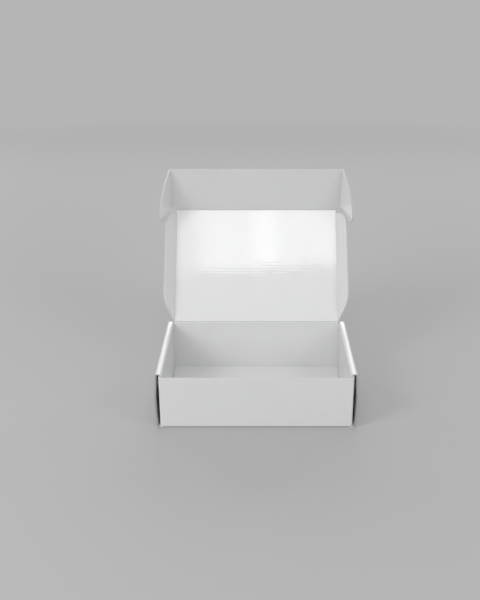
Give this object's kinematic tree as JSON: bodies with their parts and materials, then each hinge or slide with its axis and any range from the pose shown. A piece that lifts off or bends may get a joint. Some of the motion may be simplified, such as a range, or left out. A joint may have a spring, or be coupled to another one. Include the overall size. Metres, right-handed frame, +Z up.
{
  "type": "mailer box",
  "caption": "Open die-cut board box: rolled double side walls, hinged lid with side flaps, front flap and rounded locking ears.",
  "frame": {"origin": "centre of the tray's underside", "axes": "+Z up, +Y towards the lid's hinge at the back, +X to the right seen from the front"},
  "size_m": [0.2436, 0.2365, 0.2409],
  "materials": {
    "board": "glossy white coated fluted board"
  },
  "bodies": {
    "tray": {"tray": "board"},
    "lid_panel": {"lid_panel": "board"},
    "front_flap": {"front_flap": "board"},
    "left_side_flap": {"left_side_flap": "board"},
    "right_side_flap": {"right_side_flap": "board"},
    "left_ear": {"left_ear": "board"},
    "right_ear": {"right_ear": "board"}
  },
  "joints": [
    {"name": "lid_hinge", "type": "hinge", "parent": "tray", "child": "lid_panel", "pos_m": [0, 0.0727, 0.0634], "axis": [-1, 0, 0], "range_deg": [-127, 16]},
    {"name": "front_flap_crease", "type": "hinge", "parent": "lid_panel", "child": "front_flap", "pos_m": [0, 0.16225, 0.18224], "axis": [1, 0, 0], "range_deg": [-56, 1]},
    {"name": "left_side_flap_crease", "type": "hinge", "parent": "lid_panel", "child": "left_side_flap", "pos_m": [-0.102, 0.0727, 0.0634], "axis": [0, 0.6018, 0.7986], "range_deg": [-6.02, 47.1]},
    {"name": "right_side_flap_crease", "type": "hinge", "parent": "lid_panel", "child": "right_side_flap", "pos_m": [0.102, 0.0727, 0.0634], "axis": [0, -0.6018, -0.7986], "range_deg": [-6.02, 47.1]},
    {"name": "left_ear_crease", "type": "hinge", "parent": "front_flap", "child": "left_ear", "pos_m": [-0.10785, 0.16225, 0.18224], "axis": [0, -0.3256, 0.9455], "range_deg": [-68, 1]},
    {"name": "right_ear_crease", "type": "hinge", "parent": "front_flap", "child": "right_ear", "pos_m": [0.10785, 0.16225, 0.18224], "axis": [0, 0.3256, -0.9455], "range_deg": [-68, 1]}
  ],
  "couplings": [
    {"joint": "left_side_flap_crease", "follows": "lid_hinge", "ratio": -0.37008},
    {"joint": "right_side_flap_crease", "follows": "lid_hinge", "ratio": -0.37008}
  ]
}
